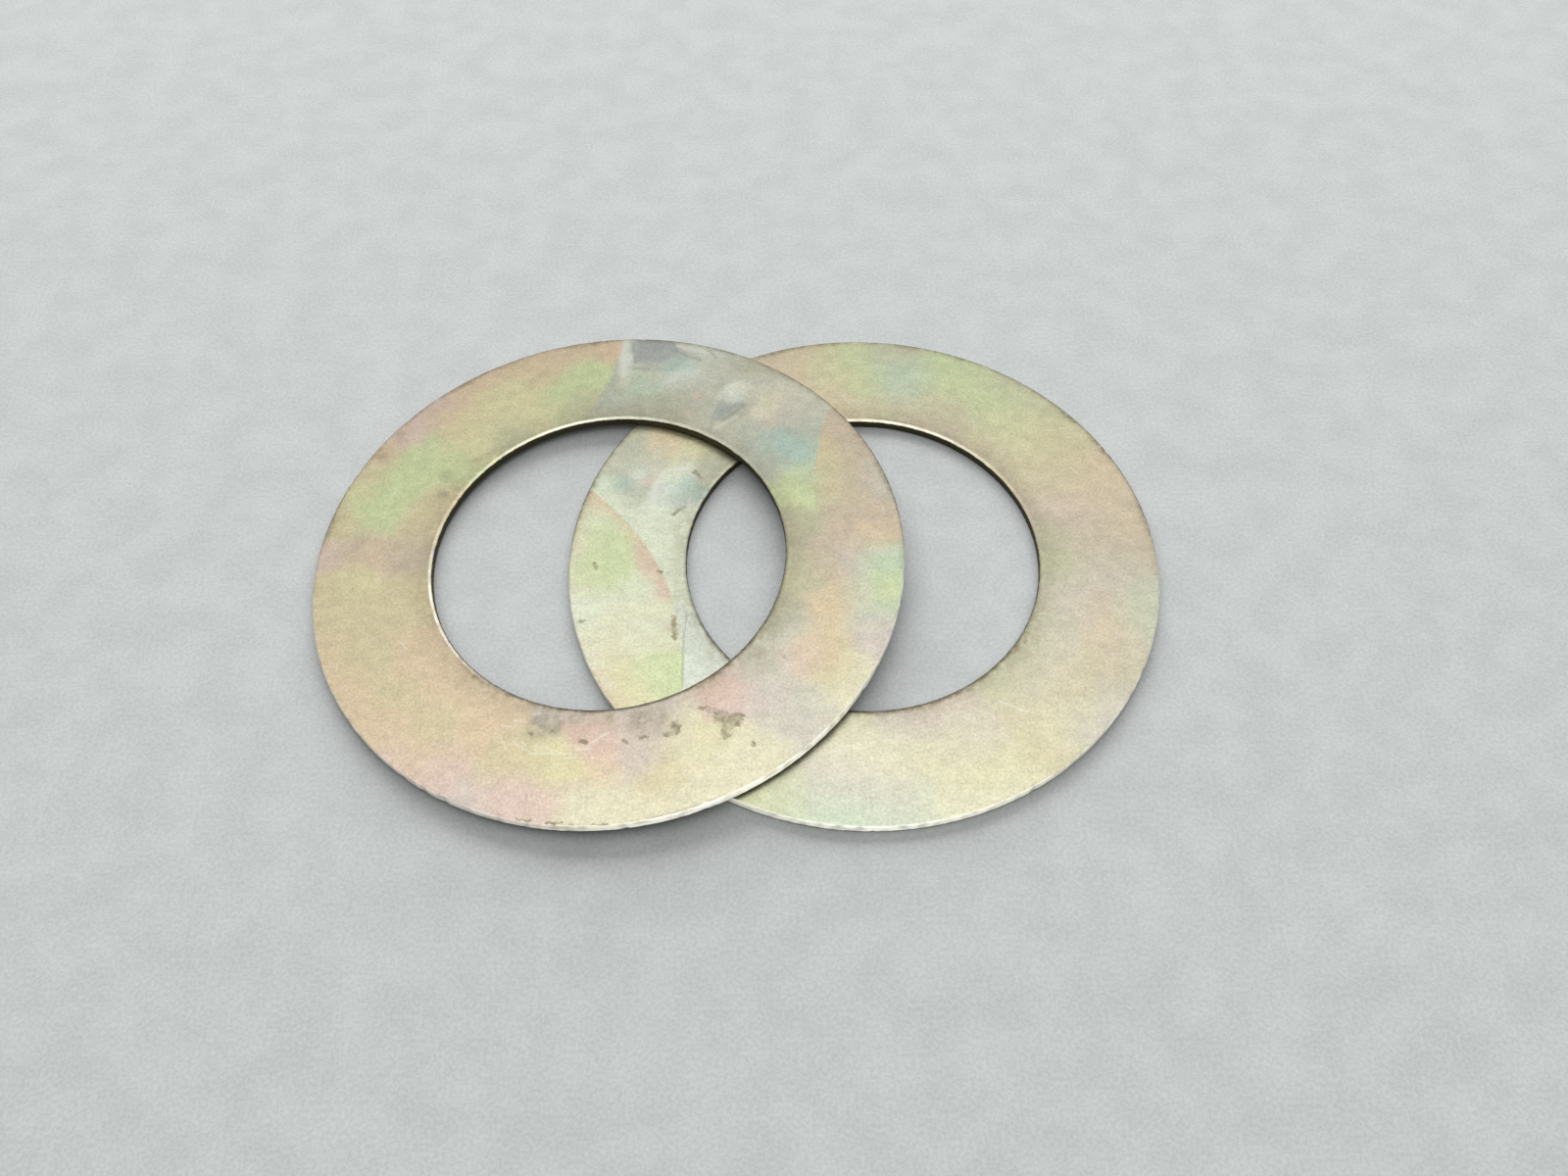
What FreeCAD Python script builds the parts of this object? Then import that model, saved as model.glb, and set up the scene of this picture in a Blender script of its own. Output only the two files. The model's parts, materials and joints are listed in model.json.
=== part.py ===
import FreeCAD, Part
import os
import Sketcher

# A pair of loose steel shim washers, in millimetres: one lies flat, the other leans on it.
#
# Both are the same stamping, a thin flat ring with a plain round bore. The punch draws the metal of the
# upper face down a little where it enters, so the bore and the rim each have a soft roll-over on top.
# Underneath both corners are square and have only lost their burr.
#
# The flat surface is z = 0 and the origin is on it, halfway between the two bores. The lower washer lies
# on the surface, on the +X side. The upper washer has its far edge on the surface, on the -X side. Its
# underside rests on the lower washer where the lower one's rim passes below the upper one's bore, and
# this tips it up towards +X. A hair of room is left there so that the two stay separate solids.

DIMENSIONS = {
    "outer_diameter": 50.0,
    "bore_diameter": 30.0,
    "thickness": 0.8,
    "bore_roll": 0.18,
    "rim_roll": 0.12,
    "burr_break": 0.05,
    "centre_distance": 21.5,
    "lean_clearance": 0.02,
}

# Parts of the formulas that place the washers, written for the document's own expressions
RIM_RADIUS = "sizes.outer_diameter / 2"
BORE_RADIUS = "sizes.bore_diameter / 2"
LIFT = "sizes.thickness + sizes.lean_clearance"
# How far past the upper bore's centre the lower rim crosses below the upper bore's edge
CROSSING = f"(({BORE_RADIUS})^2 - ({RIM_RADIUS})^2 + sizes.centre_distance^2) / (2 * sizes.centre_distance)"
LEAN = f"asin(({LIFT}) / ({RIM_RADIUS} + {CROSSING}))"


def make_sheet(doc):
    """Write the driving dimensions to the spreadsheet that everything else reads."""
    sheet = doc.addObject("Spreadsheet::Sheet", "sizes")
    for row, (alias, value) in enumerate(DIMENSIONS.items(), start=1):
        sheet.set(f"A{row}", alias)
        sheet.set(f"B{row}", str(value))
        sheet.setAlias(f"B{row}", alias)


def origin_plane(body, role):
    """Find one of a body's own origin planes."""
    return next(plane for plane in body.Origin.OriginFeatures if plane.Role == role)


def circular_edges(shape, diameter, height):
    """Name the edges of a shape that are circles of this diameter at this height."""
    names = []
    for number, edge in enumerate(shape.Edges, start=1):
        if not isinstance(edge.Curve, Part.Circle):
            continue
        same_size = abs(edge.Curve.Radius * 2 - diameter) < 0.01
        same_height = abs(edge.Curve.Center.z - height) < 0.01
        if same_size and same_height:
            names.append(f"Edge{number}")
    return names


def add_circle(sketch, name, alias):
    """Draw a circle about the sketch's origin, with its diameter bound to a cell."""
    centre = FreeCAD.Vector(0, 0, 0)
    normal = FreeCAD.Vector(0, 0, 1)
    circle = sketch.addGeometry(Part.Circle(centre, normal, DIMENSIONS[alias] / 2))
    sketch.addConstraint(Sketcher.Constraint("Coincident", circle, 3, -1, 1))
    size = sketch.addConstraint(Sketcher.Constraint("Diameter", circle, DIMENSIONS[alias]))
    sketch.renameConstraint(size, name)
    sketch.setExpression(f"Constraints.{name}", f"sizes.{alias}")


def dress_edge(body, kind, name, where, size_property, alias):
    """Round or break the edges at these (diameter, height) places of the body's last feature."""
    base = body.Tip
    edges = []
    for diameter, height in where:
        edges += circular_edges(base.Shape, diameter, height)
    feature = body.newObject(kind, name)
    feature.Base = (base, edges)
    feature.setExpression(size_property, f"sizes.{alias}")
    body.Document.recompute()


def make_washer(doc, label):
    """Stamp one washer about its own Z axis, its underside on z = 0."""
    body = doc.addObject("PartDesign::Body", label)
    body.Label = label

    outline = body.newObject("Sketcher::SketchObject", f"{label}_outline")
    outline.AttachmentSupport = [(origin_plane(body, "XY_Plane"), "")]
    outline.MapMode = "FlatFace"
    add_circle(outline, "rim", "outer_diameter")
    add_circle(outline, "bore", "bore_diameter")

    blank = body.newObject("PartDesign::Pad", f"{label}_blank")
    blank.Profile = outline
    blank.setExpression("Length", "sizes.thickness")
    doc.recompute()

    rim = DIMENSIONS["outer_diameter"]
    bore = DIMENSIONS["bore_diameter"]
    top = DIMENSIONS["thickness"]
    dress_edge(body, "PartDesign::Fillet", f"{label}_bore_roll", [(bore, top)], "Radius", "bore_roll")
    dress_edge(body, "PartDesign::Fillet", f"{label}_rim_roll", [(rim, top)], "Radius", "rim_roll")
    dress_edge(
        body, "PartDesign::Chamfer", f"{label}_burr_break", [(rim, 0), (bore, 0)], "Size", "burr_break"
    )
    return body


def check(doc, bodies):
    """Stop if any object failed or any washer isn't one sound solid."""
    for item in doc.Objects:
        if "Invalid" in item.State or "Error" in item.State:
            raise RuntimeError(f"{item.Name} failed: {item.State}")
    for body in bodies:
        if body.Shape.isNull() or not body.Shape.isValid() or len(body.Shape.Solids) != 1:
            raise RuntimeError(f"{body.Label} isn't one valid solid")


doc = FreeCAD.newDocument("shim_washers")
make_sheet(doc)
doc.recompute()

lower = make_washer(doc, "lower_washer")
lower.setExpression("Placement.Base.x", "sizes.centre_distance / 2")

upper = make_washer(doc, "upper_washer")
upper.Placement = FreeCAD.Placement(FreeCAD.Vector(0, 0, 0), FreeCAD.Rotation(FreeCAD.Vector(0, -1, 0), 1))
upper.setExpression("Placement.Base.x", "-sizes.centre_distance / 2")
upper.setExpression("Placement.Base.z", f"{RIM_RADIUS} * sin({LEAN})")
upper.setExpression("Placement.Rotation.Angle", LEAN)
doc.recompute()

bodies = [lower, upper]
check(doc, bodies)
os.makedirs("parts", exist_ok=True)
for body in bodies:
    body.Shape.exportStep(os.path.join("parts", f"{body.Label}.step"))
    box = body.Shape.optimalBoundingBox()
    print(body.Label, f"{box.XLength:.3f} x {box.YLength:.3f} x {box.ZLength:.3f}", f"z from {box.ZMin:.4f}")
gap = lower.Shape.distToShape(upper.Shape)[0]
print(f"lean {upper.Placement.Rotation.Angle * 57.29578:.3f} deg, room between the washers {gap:.4f} mm")
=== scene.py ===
# %% [markdown]
# # Two flat shim washers
# These are thin rings of sheet steel, used to take up play along a shaft. They are stamped in one stroke,
# tumbled to take the worst of the burr off, plated with zinc and dipped in a yellow chromate. One lies flat.
# The other leans on it. The bare solids come ready made, and this lesson dresses them with real edges, real
# marks and real plating.

# %% Load the solids
import json
import math

import bpy
import numpy as np
from mathutils import Matrix, Vector, noise


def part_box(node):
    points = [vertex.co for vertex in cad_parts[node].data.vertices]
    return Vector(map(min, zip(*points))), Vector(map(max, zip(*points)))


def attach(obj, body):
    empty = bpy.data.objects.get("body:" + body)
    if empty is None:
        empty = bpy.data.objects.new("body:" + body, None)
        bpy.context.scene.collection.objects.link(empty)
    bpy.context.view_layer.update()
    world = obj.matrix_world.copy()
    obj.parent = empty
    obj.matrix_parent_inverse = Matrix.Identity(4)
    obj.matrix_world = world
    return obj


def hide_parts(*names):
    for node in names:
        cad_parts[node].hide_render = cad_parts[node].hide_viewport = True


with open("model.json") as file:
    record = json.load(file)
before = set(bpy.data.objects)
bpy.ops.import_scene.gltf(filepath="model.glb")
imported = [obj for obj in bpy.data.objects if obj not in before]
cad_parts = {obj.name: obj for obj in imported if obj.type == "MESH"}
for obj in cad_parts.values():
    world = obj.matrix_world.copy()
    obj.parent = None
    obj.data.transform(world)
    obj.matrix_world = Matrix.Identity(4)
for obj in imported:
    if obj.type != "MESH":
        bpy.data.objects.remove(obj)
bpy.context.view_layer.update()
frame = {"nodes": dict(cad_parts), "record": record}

MM = 0.001
print("solids:", sorted(frame["nodes"]))

# %% [markdown]
# ## The sizes of a washer
# Nothing is typed in twice: the rim comes from the lower solid's box, the bore and the lean from the record's
# mounts. Lengths in this lesson are in millimetres and become metres only when a mesh is made.

# %% Read the sizes
mounts = {mount["name"]: mount for mount in frame["record"]["mounts"]}
lower_low, lower_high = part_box("lower_washer")
RIM = (lower_high.x - lower_low.x) / 2 / MM
SHEET = (lower_high.z - lower_low.z) / MM
BORE = mounts["lower_bore"]["dims"]["r_mm"]
MIDDLE = (RIM + BORE) / 2
print(f"rim radius {RIM:.2f}, bore radius {BORE:.2f}, sheet {SHEET:.2f} mm")


def stand(mount_name, up):
    """A washer's place: its own origin is the middle of its underside and its own Z is its bore."""
    half_wall = mounts["lower_bore"]["pos_m"][2]
    up = Vector(up).normalized()
    along = Vector((0, 1, 0)).cross(up)
    across = up.cross(along)
    foot = Vector(mounts[mount_name]["pos_m"]) - up * half_wall
    return Matrix.Translation(foot) @ Matrix((along, across, up)).transposed().to_4x4()


places = {
    "lower_washer": stand("lower_bore", (0, 0, 1)),
    "upper_washer": stand("upper_bore", mounts["upper_bore"]["axis"]),
}
lean = math.degrees(math.acos(places["upper_washer"].col[2].z))
print(f"the upper washer leans {lean:.2f} degrees")

# %% [markdown]
# ## The stamped section
# A die leaves the same marks on every stamping. Where the punch goes in, the corner rolls over. Below that
# the steel is sheared smooth and bright, and the lowest part tears off and stays rough and dark. The rim was
# cut with little play and is nearly all sheared. The bore had more play and is nearly all torn. A bevel can't
# tell these bands apart, so the mesh starts as one closed outline of a cut through the ring.

# %% Draw the section
RIM_ROLL = (0.16, 0.12)  # how wide and how deep the corner rolls over
BORE_ROLL = (0.42, 0.12)
CORNER = 0.05
ROLL_STEPS = 10
WALL_STEPS = 8
FACE_STEPS = 46
FOOT_STEPS = 8


def cut_edge(wall, inward, roll):
    """One edge of the section, from the underside's broken corner up over the roll to the flat face."""
    wide, deep = roll
    turn = np.linspace(0, math.pi / 2, ROLL_STEPS)
    heights = np.concatenate([
        [0.0], np.linspace(CORNER, SHEET - deep, WALL_STEPS)[:-1], SHEET - deep * (1 - np.sin(turn))])
    radii = np.concatenate([
        [wall + inward * CORNER], np.full(WALL_STEPS - 1, wall), wall + inward * wide * (1 - np.cos(turn))])
    return np.column_stack([radii, heights])


def flat_run(start, end, steps, height):
    """The corners of a level stretch of the section, without its two ends."""
    return np.column_stack([np.linspace(start, end, steps + 1)[1:-1], np.full(steps - 1, height)])


rim_edge = cut_edge(RIM, -1, RIM_ROLL)
bore_edge = cut_edge(BORE, 1, BORE_ROLL)
face = flat_run(rim_edge[-1, 0], bore_edge[-1, 0], FACE_STEPS, SHEET)
foot = flat_run(bore_edge[0, 0], rim_edge[0, 0], FOOT_STEPS, 0.0)
section = np.vstack([rim_edge, face, bore_edge[::-1], foot])
print(f"the section has {len(section)} corners")

# %% [markdown]
# ## Roughing up the ring
# Turning a section round an axis is what a lathe does, and Blender has a Screw modifier for it. Here the
# points are worked out in numpy instead, because every one of them is then moved a little. The torn wall is
# ragged, the tumbled rim has small nicks, thin sheet is never quite flat, and each washer has been knocked
# somewhere. Smooth noise gives each of these its own size.

# %% Make the noise and the dents
def noise_at(points, size, seed):
    """Smooth noise, about -1 to 1, at points in millimetres. The seed picks another stretch of it."""
    shift = Vector((seed * 17.3, seed * -9.1, seed * 5.7))
    return np.array([noise.noise(Vector(point) / size + shift) for point in points])


def dished(points, dents):
    """How deep each point lies in the dents, which are (x, y, half length, half width, turn, depth)."""
    depth = np.zeros(len(points))
    for x, y, long, wide, turn, deep in dents:
        turn = math.radians(turn)
        across = (points[:, 0] - x) * math.cos(turn) + (points[:, 1] - y) * math.sin(turn)
        along = (points[:, 1] - y) * math.cos(turn) - (points[:, 0] - x) * math.sin(turn)
        away = (across / long) ** 2 + (along / wide) ** 2
        depth += deep * np.clip(1 - away, 0, 1) ** 1.5
    return depth


print("noise at the middle of the sheet:", noise_at([(MIDDLE, 0, 0)], 1.3, 1).round(3))

# %% [markdown]
# ## Spinning it into a ring
# A point's place round the ring is an angle, so the section is repeated at even angles. The walls are then
# moved in and out, and the upper face only down, so that the washer never grows past its solid.

# %% Spin the section
AROUND = 1080
RAGGED = 0.035  # how far a wall wanders
NICK_DEEP = 0.06
UNEVEN = 0.015  # how far the sheet is from flat
FINE, BROAD, NICK, WAVE = 0.22, 1.3, 0.7, 9.0  # the size of each kind of roughness
HAIR = 0.001  # a height too small to matter


def spin(seed, dents):
    """The even and the roughed-up points of one washer, in its own millimetres."""
    radius = np.tile(section[:, 0], AROUND)
    height = np.tile(section[:, 1], AROUND)
    turn = np.repeat(np.linspace(0, 2 * math.pi, AROUND, endpoint=False), len(section))
    even = np.column_stack([radius * np.cos(turn), radius * np.sin(turn), height])
    level = even * (1, 1, 0)

    on_face = height > SHEET - HAIR
    on_wall = (height > HAIR) & (height < SHEET - 0.02)
    outer = radius > MIDDLE
    fine = np.abs(noise_at(even, FINE, seed))
    broad = np.abs(noise_at(level, BROAD, seed + 1))
    nicks = np.clip(noise_at(level, NICK, seed + 2) - 0.3, 0, 1) * NICK_DEEP / 0.4
    radius = radius - np.where(outer, 0.5, -1.0) * on_wall * (fine + broad * 0.5) * RAGGED
    radius = radius - nicks * (outer & ~on_face)
    height = height - on_face * np.abs(noise_at(level, WAVE, seed + 3)) * UNEVEN
    height = height - on_face * dished(even, dents)
    height = height - (on_wall & (height > SHEET / 2)) * broad * UNEVEN
    return even, np.column_stack([radius * np.cos(turn), radius * np.sin(turn), height])


def ring_faces():
    """The four-cornered faces that join each spoke of section corners to the next."""
    many = len(section)
    spoke = np.arange(AROUND)[:, None]
    here = np.arange(many)[None, :]
    after = (here + 1) % many
    ahead = (spoke + 1) % AROUND
    corners = [spoke * many + here, ahead * many + here, ahead * many + after, spoke * many + after]
    return np.stack([np.broadcast_to(q, (AROUND, many)) for q in corners], axis=-1).reshape(-1, 4)


quads = ring_faces()
print(f"each ring has {AROUND * len(section)} points and {len(quads)} faces")

# %% [markdown]
# ## The tints of the plating
# Yellow chromate is a clear film about as thick as a wave of light, so it shows the colours of oil on water,
# only paler: straw and lime where it is thin, peach and rose where it is thicker, then mint again. A film
# drains unevenly as the washer hangs, so the tints lie in soft clouds. They are painted on the points of the
# mesh from a few places for each tint, and every point takes mostly the tint of the places nearest to it. A
# noise texture with a colour ramp would be shorter, but it can't be told where a cloud lies.

# %% Name the tints
def screen(red, green, blue):
    """A colour as a screen shows it, 0 to 255, turned into the linear light that Blender works in."""
    return np.array([(v / 255 / 12.92) if v < 10.3 else ((v / 255 + 0.055) / 1.055) ** 2.4
                     for v in (red, green, blue)])


TINTS = {
    "peach": screen(200, 182, 155),
    "rose": screen(199, 180, 167),
    "pink": screen(199, 173, 157),
    "blush": screen(191, 182, 172),
    "sand": screen(185, 172, 152),
    "amber": screen(194, 184, 151),
    "straw": screen(200, 195, 156),
    "lime": screen(188, 198, 154),
    "fern": screen(182, 183, 151),
    "mint": screen(178, 192, 169),
    "teal": screen(161, 181, 169),
    "pearl": screen(187, 186, 169),
    "cream": screen(202, 198, 171),
    "milk": screen(202, 208, 185),
    "pale_edge": screen(208, 206, 189),
    "ice": screen(196, 202, 190),
    "grey": screen(174, 177, 161),
    "slate": screen(158, 163, 158),
    "olive": screen(170, 168, 145),
}


def paint(places_by_tint, points, soft, thinned):
    """The tint of every point, blended from the named places.

    Soft is how far apart places melt together. A third number with a place is its own softness. Thinned is
    how far the whole film is washed out.
    """
    shade = np.zeros((len(points), 3))
    total = np.zeros(len(points))
    for name, spots in places_by_tint.items():
        for x, y, *own in spots:
            away = (points[:, 0] - x) ** 2 + (points[:, 1] - y) ** 2
            melt = own[0] if own else soft
            pull = np.exp(-away / (2 * melt ** 2)) + 1e-6 / (1 + away)
            shade += pull[:, None] * TINTS[name]
            total += pull
    return shade / total[:, None] * (1 - thinned) + TINTS["milk"] * thinned


print("tints:", ", ".join(TINTS))

# %% [markdown]
# ## Where the tints lie on the upper washer
# Each place is a point on the washer in millimetres from the middle of its bore. On both washers the film
# changes along a clean curve with the radius of a rim: another washer stuck there in the dip and left its
# outline. So there are two lists for each washer, one for either side of that border. The film itself is
# warm all round, with lime clouds at the upper left.

# %% Place the tints of the upper washer's film
UPPER_FILM = {
    "peach": [(-1.5, 23.8), (-5.5, 23.5), (-6, 21.9), (-9, 22.4), (-12.2, 20.8), (-14.6, 17.8), (-16, 15.6),
              (-21, 11.8), (-19.8, 0.6), (-15.6, -9.3), (-13, -13), (-15.8, -15.8), (-20.6, -12.6),
              (-9.2, -15.9), (-10.4, -17.8), (-13.6, -18.4), (-17.2, -16.8), (-23, -9.6), (0.4, -19.6),
              (18.6, -6.2), (22.4, 1.2), (17.2, -9.8)],
    "rose": [(-17, 17), (-19.2, 14.4), (-24, 0.6), (-11.4, -19.6), (-12.2, -21), (-7, -22.6), (-5, -21.6),
             (-6.2, -23.6), (-3, -22.8), (-0.2, -17.6), (1.6, -17.8), (-15.6, -19.4), (10.4, -14.2),
             (16, -11.2)],
    "blush": [(-3.6, -15.8, 0.7), (-1.6, -15.7, 0.6), (1.4, -15.8, 0.7), (3.6, -16.4), (5.2, -16.2),
              (12.6, -14), (14.4, -15), (3.4, -18.8), (16.4, -16.8), (20.8, -1.6), (22.4, -8.6),
              (-9.4, -23.2)],
    "sand": [(-18.2, 0.6), (-16.4, 0), (-21.8, 1), (20.4, 0.4), (21.2, 5.4), (19.6, 3.6), (23.4, 3.6),
             (21, 10), (20.6, 12.6), (17.4, -1.2), (4.8, -17.6), (22.8, 7.2), (18.6, -2.6)],
    "amber": [(-16.4, 3.4), (-16.2, -3), (-16, 6), (-19.2, -5.4), (-21.4, -6), (-23.2, -5.4),
              (-17.8, -10.4), (-18.8, -8), (-16, -13.4), (-13.4, -15.2), (-22.4, 9.6), (-22.8, -3.4),
              (-5, -19), (-7.4, -19.4), (-12, -16.6), (-20.8, -9), (19.4, -4.8), (19.6, 6.2), (18.9, 10),
              (-7.6, 21), (-23.6, 4), (18.2, -12), (5.6, -20.8), (19, -8.6), (-17, -4.4)],
    "straw": [(-9.6, 19.2), (-11.4, 17.6), (-9, 15.8), (-13.4, 15), (-12.4, 13.4), (-21.4, -2.6),
              (-21.8, 7.6), (-2.6, -20.4), (8.6, -18.2), (-14.6, 12.2), (-7, 16.4), (-3.6, -19)],
    "lime": [(-4.6, 19.4), (-5.6, 18), (-3.6, 21), (-16.4, 11.2), (-15, 10.8), (-18, 9.4), (-19.6, 6.2),
             (-20.4, 4.4), (-21, 5.6), (-20, 8), (-18.4, 11), (23.6, -4.6), (23, -3.2)],
    "fern": [(-3.4, 16.4), (17.9, 4.8), (16.2, -2.2), (18.2, 7.2), (-4.6, 16.2), (-9.6, 13.6)],
    "cream": [(7.4, -17.2), (7, -19), (9.4, -20.4), (0.4, -22.6), (2.6, -23.2), (-1, -24.2), (11.6, -20.4),
              (11.4, -18.8), (13, -19.6), (6.8, -22.8), (20.8, -12.2), (18.8, -14.6), (10, -22.4)],
    "pearl": [(13.6, -11.4), (16.2, -14.6), (15, -16.8), (17.2, -16.2), (15.2, -8.2), (21, -4.6),
              (21.4, -7), (24, 8.4), (23.6, 6.4)],
    "mint": [(24, -1.6), (22.6, -1.6), (23.2, -6)],
    "olive": [(15.9, -0.6), (16, 2.4), (14.6, -6.4)],
    "pink": [(-0.8, -17.2, 0.5), (0.4, -17.2, 0.5), (-1.2, -16.8, 0.4), (1.3, -17.6, 0.5),
             (0.2, -18.2, 0.4), (9.6, -13.6, 0.5), (10.8, -13.8, 0.5), (-2.2, -16.6, 0.3)],
}
print("places in the upper film:", sum(len(spots) for spots in UPPER_FILM.values()))

# %% [markdown]
# ## The upper washer's clear patch
# At the far side the other washer kept the dip off, and the zinc is nearly bare: grey and slate where it is
# thinnest, teal and mint where a little film crept in.

# %% Place the tints of the upper washer's clear patch
UPPER_CLEAR = {
    # The last five slate places are painted shade in the crescent of the upper dent.
    "slate": [(1.3, 24.2, 0.4), (2.2, 24.2, 0.4), (3.2, 24, 0.4), (4.2, 23.8, 0.4), (1.6, 23.2, 0.4),
              (2.6, 23, 0.4), (3.6, 22.8, 0.4), (4.6, 23, 0.4), (1.9, 22.2, 0.35), (2.7, 21.7, 0.35),
              (5.2, 22.5, 0.3), (6, 22.2, 0.3), (6.9, 21.9, 0.25), (9, 14.9, 0.35), (9.5, 15.5, 0.4),
              (10.2, 15.9, 0.4), (9.6, 16.4, 0.35), (10.8, 16.3, 0.35)],
    "teal": [(4.2, 21.2, 0.5), (5.2, 21.3, 0.5), (5.9, 21, 0.5), (14.2, 11.8), (15.2, 11.2), (16, 10)],
    "mint": [(16.6, 8.9), (2, 19.3), (3.2, 18.4), (1.6, 18.6)],
    "ice": [(0.2, 23.8, 0.5), (0.2, 22, 0.5), (0.2, 20.6, 0.5), (5.3, 19.8), (10.6, 17.8, 0.7), (8.2, 22.4),
            (6.2, 20.6)],
    "pearl": [(2.8, 20.2), (8, 20.6), (12.2, 14.6), (18.3, 15), (6.6, 18.6), (8.4, 12.6), (8.6, 18.4),
              (11.6, 18.4), (16.6, 17.2), (12.8, 17.4), (13.8, 18.6), (7.4, 14.4), (9.4, 21)],
    "grey": [(-0.6, 17.2), (0.6, 17.4), (3, 16.4), (5.4, 16.8), (12.4, 13), (15.2, 14), (8.4, 16.2),
             (12.6, 11), (16.6, 12.8), (13.4, 9.4), (7, 23.4), (8.8, 19.4), (-1.2, 19.4), (10.8, 22)],
    "olive": [(3.6, 17.2), (-2.6, 15.9), (0.8, 15.8), (15.6, 0), (15.5, 2.6), (12.4, 21.2), (5.2, 15.8)],
    "blush": [(14.4, 14.9), (15, 15.8)],
    "cream": [(14.4, 16.6), (14, 15.6), (0.1, 19.4, 0.5), (13.4, 16.2)],
    "lime": [(16.6, 6.8), (16.8, 5.4)],
    "fern": [(16.8, 3.4), (17.2, 1.6), (17.2, 7.6)],
    "pink": [(6.9, 17.2, 0.22), (7.2, 16.9, 0.2)],
    "rose": [(6, 15.5, 0.3), (13.9, 13.9, 0.5)],
}
print("places in the upper clear patch:", sum(len(spots) for spots in UPPER_CLEAR.values()))

# %% [markdown]
# ## The lower washer's film
# The film is whole only at the left of this washer, in the crescent that shows through the upper bore. A pink
# and peach band follows its border, and its outer edge is worn pale.

# %% Place the tints of the lower washer's film
LOWER_FILM = {
    "cream": [(-24.2, 1.4), (-24.4, -2.6), (-23.4, -7.6), (-21.8, -10.2), (-20.6, -5.4), (-20.4, -8.6),
              (-17.6, -8), (-18.6, -5.6)],
    "peach": [(-23.2, 6, 0.5), (-22.2, 5.2, 0.5), (-21.3, 4.3, 0.5), (-20.4, 3.4, 0.5), (-19.6, 2.4, 0.5),
              (-21.8, -12.6)],
    "pink": [(-19.2, 1, 0.4), (-18.8, -0.2, 0.5), (-18.3, -1.4, 0.5), (-17.7, -2.6, 0.5),
             (-17.2, -3.8, 0.45)],
    "milk": [(-22.4, -4.6), (-23.6, -5.6), (-19.6, -3.4), (-23, 3.6), (-18.4, -7.2)],
    "lime": [(-22.2, 1.4), (-21.6, -0.6), (-20.6, -1.4), (-16.6, -11.2), (-17.6, -10.4), (-23, -1.4),
             (-21.9, 2.8)],
    "straw": [(-19, -12.6), (-24.6, 3.4), (-20, -10.6)],
    "pale_edge": [(-24.6, 3.6, 0.3), (-24.8, 2, 0.35), (-24.9, 0.4, 0.35), (-24.8, -1.2, 0.35),
             (-24.7, -2.8, 0.35), (-24.4, -4.4, 0.4), (-24, -6, 0.4), (-23.5, -7.6, 0.4),
             (-22.9, -9.2, 0.4), (-22.1, -10.8, 0.4), (-21.2, -12.4, 0.4)],
}
print("places in the lower film:", sum(len(spots) for spots in LOWER_FILM.values()))

# %% [markdown]
# ## The rest of the lower washer
# Everywhere else the film is thinner and its clouds are broader and paler. Next to the border on the left it
# is almost gone.

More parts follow.
